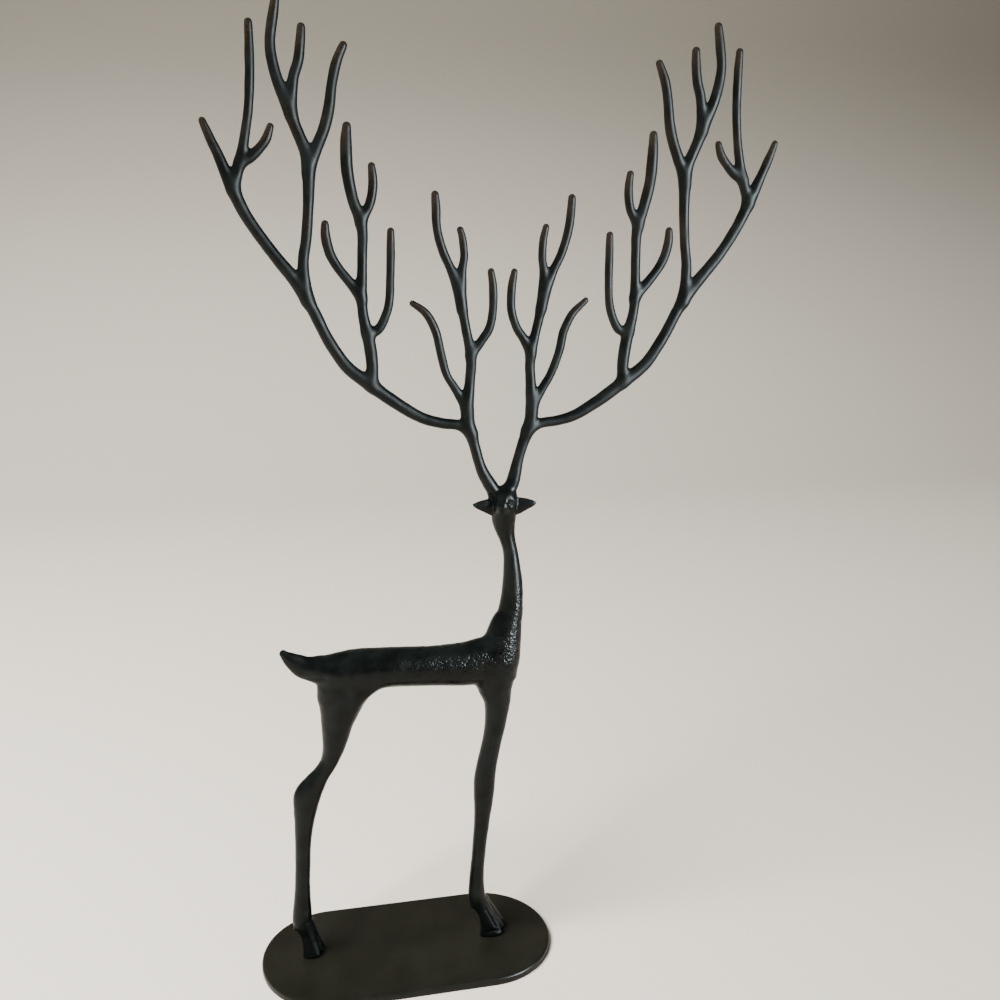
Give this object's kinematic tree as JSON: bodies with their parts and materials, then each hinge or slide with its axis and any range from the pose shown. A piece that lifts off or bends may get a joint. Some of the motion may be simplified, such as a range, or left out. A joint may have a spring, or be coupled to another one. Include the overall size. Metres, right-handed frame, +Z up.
{
  "type": "cast iron stag statue",
  "caption": "Slender standing stag in black cast iron with tall branching antlers, on a flat oval base plate.",
  "frame": {"origin": "centre of the base plate's underside", "axes": "+Z up, +X along the plate towards the stag's chest, -Y towards the side that the stag looks to"},
  "size_m": [0.4144, 0.115, 0.732],
  "materials": {
    "stag_iron": "black, semi-gloss on the smooth antlers, legs and neck, coarse sand-cast grain on the body and chest",
    "plate_iron": "matte black with a faint olive cast and a softly rounded upper edge"
  },
  "bodies": {
    "root": {"stag": "stag_iron", "base_plate": "plate_iron"}
  },
  "joints": []
}
